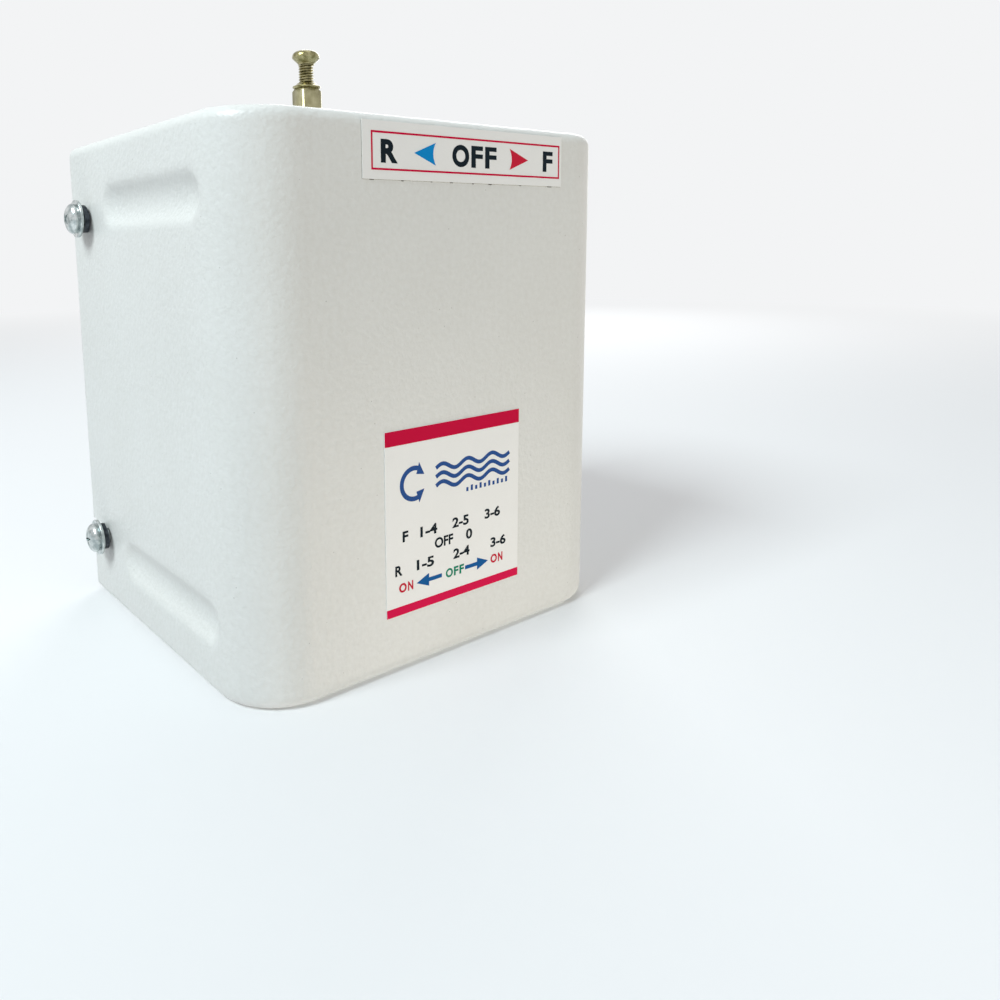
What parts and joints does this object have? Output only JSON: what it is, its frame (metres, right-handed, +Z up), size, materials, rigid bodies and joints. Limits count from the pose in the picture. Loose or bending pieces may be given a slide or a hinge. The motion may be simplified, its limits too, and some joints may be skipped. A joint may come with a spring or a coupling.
{
  "type": "reversing drum switch",
  "caption": "Surface-mounted reversing drum switch in a white sheet steel case, with a square drive shaft on top and blind cable entries below.",
  "frame": {"origin": "middle of the footprint, on the lower rim of the cover", "axes": "+X to the right seen from the front, +Y to the rear (the mounting side), +Z up along the shaft"},
  "size_m": [0.1268, 0.0962, 0.1553],
  "materials": {
    "powder_coat": "white powder coat with a fine orange peel over sheet steel",
    "label_position": "printed vinyl label with a red frame, letters and two arrows",
    "label_rating": null,
    "fibre_liner": "pressed insulating fibre",
    "bronze": "sintered bronze",
    "zinc_steel": "zinc plated steel",
    "zinc_screw": "bright zinc plated steel screws",
    "dark_spring_steel": "dark spring steel",
    "bright_steel": "turned bright steel",
    "spring_steel": "spring steel",
    "phenolic": "dark brown phenolic moulding",
    "brass": "pressed and turned brass",
    "copper": "hard drawn copper",
    "black_rubber": "black moulded rubber",
    "yellow_zinc": "steel bar with a pale yellow zinc passivate",
    "yellow_zinc_screw": "yellow zinc plated steel"
  },
  "bodies": {
    "base": {"back_frame": "powder_coat", "top_bush": "bronze", "bottom_bush": "bronze", "left_strap": "zinc_steel", "right_strap": "zinc_steel", "weld_beads": "powder_coat", "left_board": "phenolic", "right_board": "phenolic", "board_screws": "zinc_steel", "left_brackets": "brass", "right_brackets": "brass", "terminal_screws": "brass", "terminal_washers": "brass", "finger_pins": "bright_steel", "detent_posts": "zinc_steel", "detent_spring": "spring_steel", "detent_screws": "zinc_steel", "stop_pins": "bright_steel", "grommet_left": "black_rubber", "grommet_right": "black_rubber", "earth_screw": "zinc_screw", "earth_washer": "zinc_screw", "earth_nut": "zinc_screw", "cover_screws": "zinc_screw", "cover_washers": "zinc_screw", "cover_spring_washers": "dark_spring_steel", "cover_nuts": "zinc_steel", "finger_spring_1": "spring_steel", "finger_spring_2": "spring_steel", "finger_spring_3": "spring_steel", "finger_spring_4": "spring_steel", "finger_spring_5": "spring_steel", "finger_spring_6": "spring_steel"},
    "cover": {"cover": "powder_coat", "label_position": "label_position", "label_rating": "label_rating", "cover_liner": "fibre_liner"},
    "rotor": {"shaft": "yellow_zinc", "handle_screw": "yellow_zinc_screw", "handle_washer": "yellow_zinc_screw", "drum_barrel": "phenolic", "forward_shoes": "copper", "reverse_shoes": "copper", "forward_links": "copper", "reverse_link": "copper", "crossover_links": "copper", "shoe_screws": "brass", "star_wheel": "bright_steel", "stop_arm": "zinc_steel", "retaining_ring": "spring_steel"},
    "finger_1": {"contact_finger_1": "copper"},
    "finger_2": {"contact_finger_2": "copper"},
    "finger_3": {"contact_finger_3": "copper"},
    "finger_4": {"contact_finger_4": "copper"},
    "finger_5": {"contact_finger_5": "copper"},
    "finger_6": {"contact_finger_6": "copper"}
  },
  "joints": [
    {"name": "rotor_turn", "type": "hinge", "parent": "base", "child": "rotor", "pos_m": [0, 0.0145, 0.06], "axis": [0, 0, 1], "range_deg": [-60, 60], "deforming": ["detent_spring"]},
    {"name": "cover_slide", "type": "slide", "parent": "base", "child": "cover", "axis": [0, -1, 0], "range_m": [0, 0.1]},
    {"name": "finger_1_lift", "type": "hinge", "parent": "base", "child": "finger_1", "pos_m": [-0.0267, -0.012, 0.08699], "axis": [0, 0, 1], "range_deg": [0, 4], "stiffness_Nm_per_rad": 1, "springref_deg": -2.86, "deforming": ["finger_spring_1"]},
    {"name": "finger_2_lift", "type": "hinge", "parent": "base", "child": "finger_2", "pos_m": [-0.0267, -0.012, 0.061], "axis": [0, 0, 1], "range_deg": [0, 4], "stiffness_Nm_per_rad": 1, "springref_deg": -2.86, "deforming": ["finger_spring_2"]},
    {"name": "finger_3_lift", "type": "hinge", "parent": "base", "child": "finger_3", "pos_m": [-0.0267, -0.012, 0.035], "axis": [0, 0, 1], "range_deg": [0, 4], "stiffness_Nm_per_rad": 1, "springref_deg": -2.86, "deforming": ["finger_spring_3"]},
    {"name": "finger_4_lift", "type": "hinge", "parent": "base", "child": "finger_4", "pos_m": [0.0267, -0.012, 0.08699], "axis": [0, 0, -1], "range_deg": [0, 4], "stiffness_Nm_per_rad": 1, "springref_deg": -2.86, "deforming": ["finger_spring_4"]},
    {"name": "finger_5_lift", "type": "hinge", "parent": "base", "child": "finger_5", "pos_m": [0.0267, -0.012, 0.061], "axis": [0, 0, -1], "range_deg": [0, 4], "stiffness_Nm_per_rad": 1, "springref_deg": -2.86, "deforming": ["finger_spring_5"]},
    {"name": "finger_6_lift", "type": "hinge", "parent": "base", "child": "finger_6", "pos_m": [0.0267, -0.012, 0.035], "axis": [0, 0, -1], "range_deg": [0, 4], "stiffness_Nm_per_rad": 1, "springref_deg": -2.86, "deforming": ["finger_spring_6"]}
  ]
}
